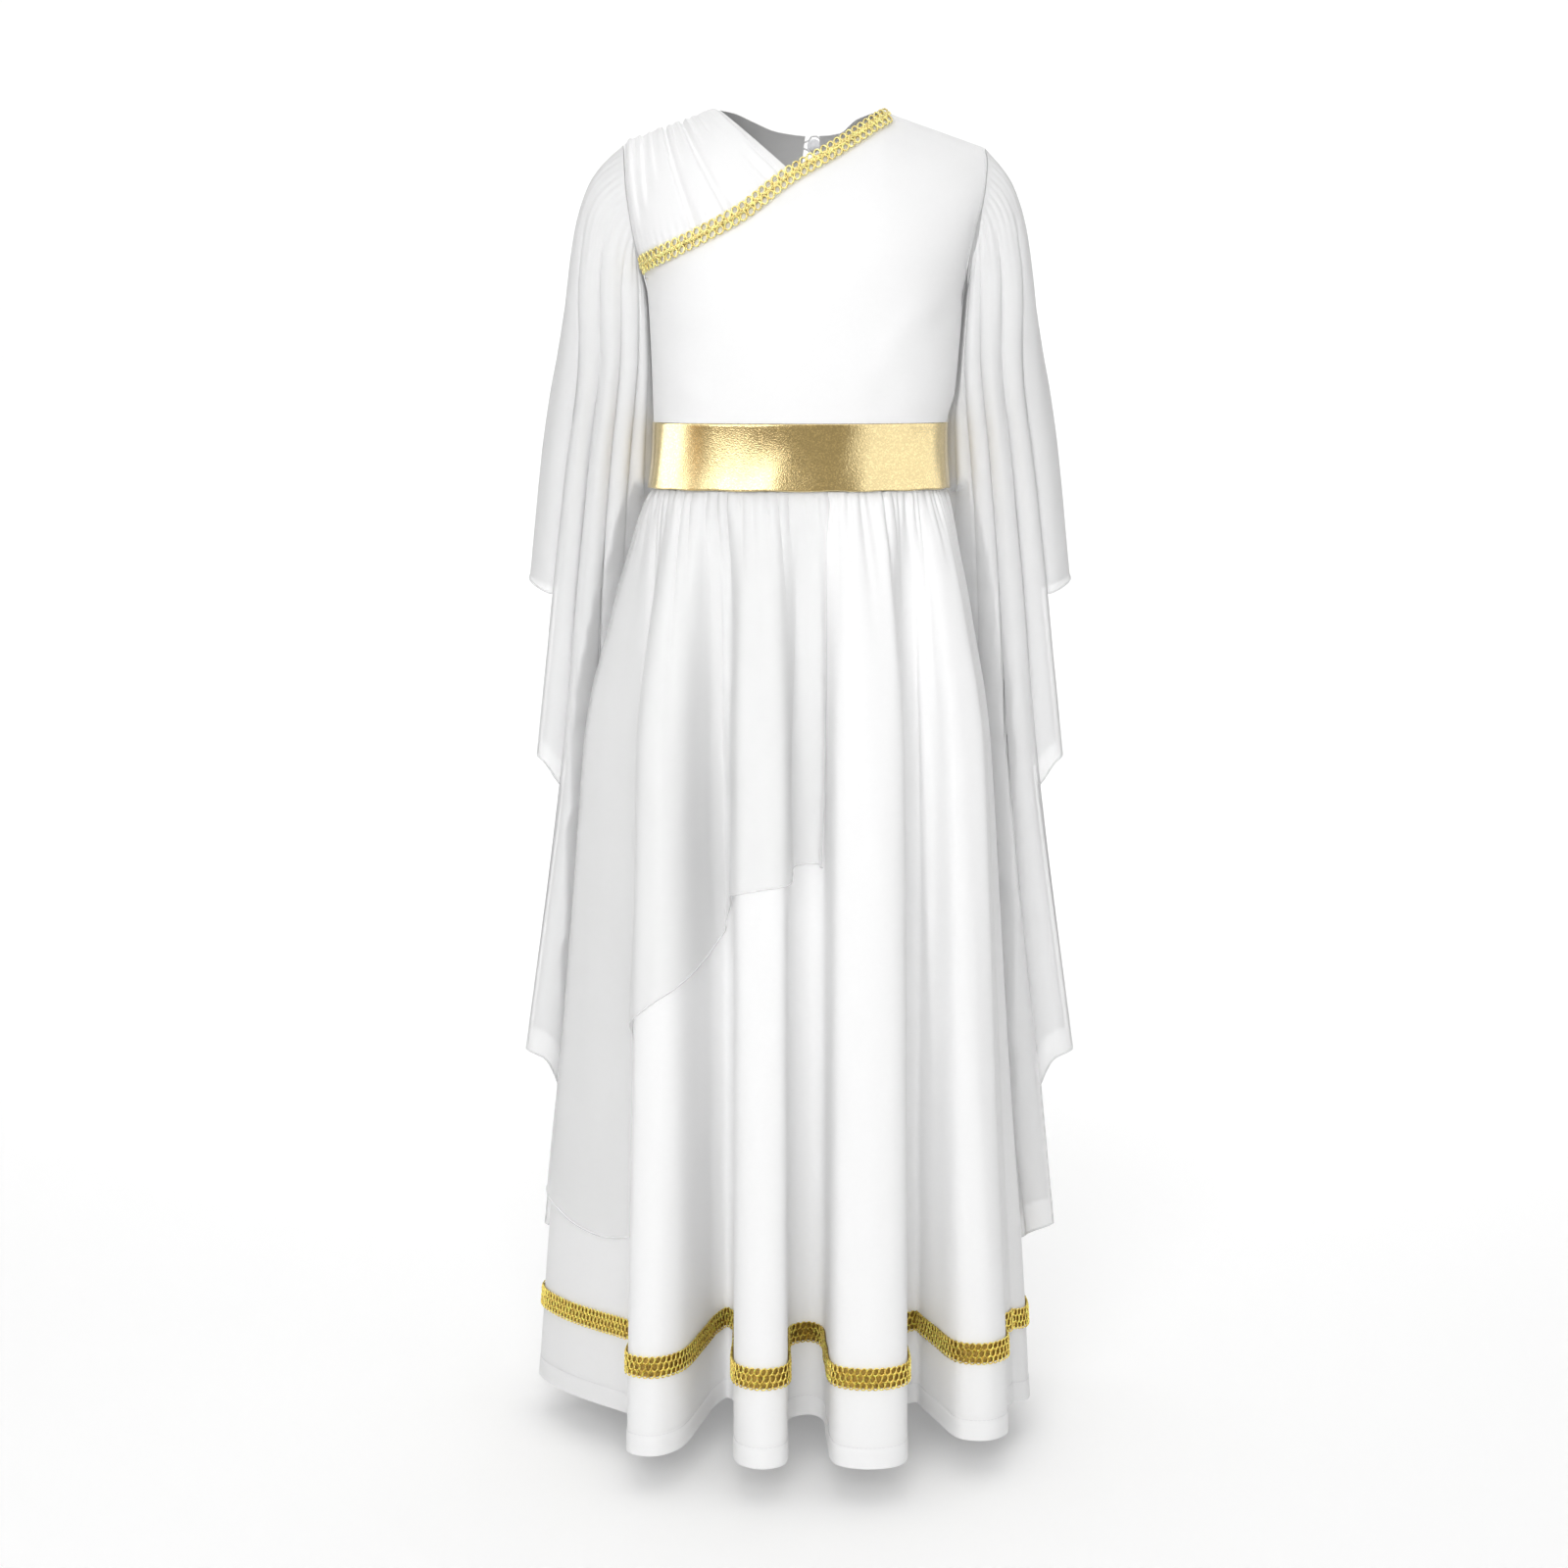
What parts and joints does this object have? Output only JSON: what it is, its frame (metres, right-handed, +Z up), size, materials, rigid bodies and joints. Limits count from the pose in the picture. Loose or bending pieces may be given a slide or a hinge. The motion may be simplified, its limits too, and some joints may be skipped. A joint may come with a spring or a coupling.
{
  "type": "girl's grecian princess costume dress",
  "caption": "Long white costume dress with a slanted gold braid across one shoulder, a gold waistband, a sheer overskirt and open angel sleeves, filled out as worn.",
  "frame": {"origin": "middle of the shoulder line, where the wearer's shoulders hold the dress up", "axes": "+Z up, -Y towards the dress's front, +X towards the wearer's left"},
  "size_m": [0.4438, 0.3641, 1.0243],
  "materials": {
    "white_jersey": "matt white stretch cloth",
    "grey_chiffon": "sheer grey-white cloth",
    "gold_foil": "shiny gold foil cloth",
    "gold_braid": "metallic gold thread",
    "button_shell": "glossy grey-white"
  },
  "bodies": {
    "root": {"bodice_front": "white_jersey", "shoulder_drape": "white_jersey", "bodice_back_left": "white_jersey", "bodice_back_right": "white_jersey", "neck_braid": "gold_braid", "waistband": "gold_foil", "skirt_front": "white_jersey", "skirt_back": "white_jersey", "overskirt": "grey_chiffon", "sleeve_left": "grey_chiffon", "sleeve_right": "grey_chiffon", "hem_braid_front": "gold_braid", "hem_braid_back": "gold_braid", "back_button": "button_shell", "button_loop": "white_jersey"}
  },
  "joints": []
}
